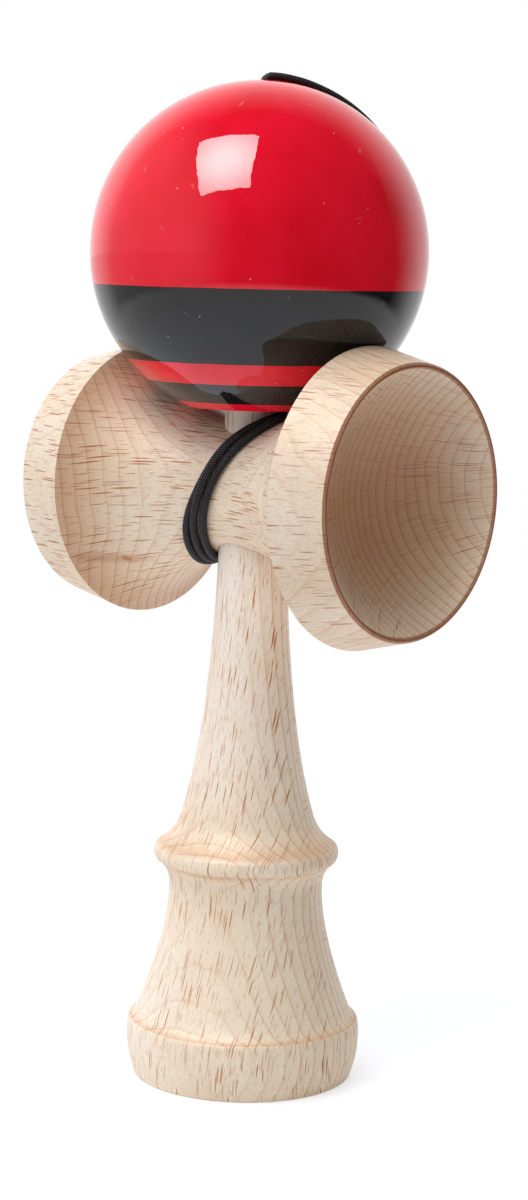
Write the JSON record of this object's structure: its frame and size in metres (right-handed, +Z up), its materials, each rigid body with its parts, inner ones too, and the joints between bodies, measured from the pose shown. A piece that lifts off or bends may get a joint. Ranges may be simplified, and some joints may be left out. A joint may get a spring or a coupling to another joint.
{
  "type": "kendama",
  "caption": "Turned wooden kendama: a spiked handle with a cup under its base, a cross piece with a cup at each end, and a lacquered ball tied on by a wound, braided cord.",
  "frame": {"origin": "middle of the flat rim under the base, on the ken's axis", "axes": "+Z up the ken's axis to the ball, +X along the cross piece's axis to its big cup, -Y to the front"},
  "size_m": [0.0728, 0.0606, 0.1808],
  "materials": {
    "beech": "sanded, unpainted beech",
    "lacquer": "gloss lacquer over wood",
    "bead_wood": "sanded wood",
    "cord": "braided black cord"
  },
  "bodies": {
    "handle": {"ken": "beech", "sarado": "beech", "string_anchor": "cord", "string_winding": "cord", "string_run": "cord"},
    "swivel": {"bead": "bead_wood", "string_end": "cord"},
    "ball": {"tama": "lacquer"}
  },
  "joints": [
    {"name": "ball_lift", "type": "slide", "parent": "handle", "child": "swivel", "axis": [0, 0, 1], "range_m": [0, 0.05], "deforming": ["string_run"]},
    {"name": "ball_spin", "type": "hinge", "parent": "swivel", "child": "ball", "pos_m": [0, 0, 0.1491], "axis": [0, 0, 1], "continuous": true}
  ]
}
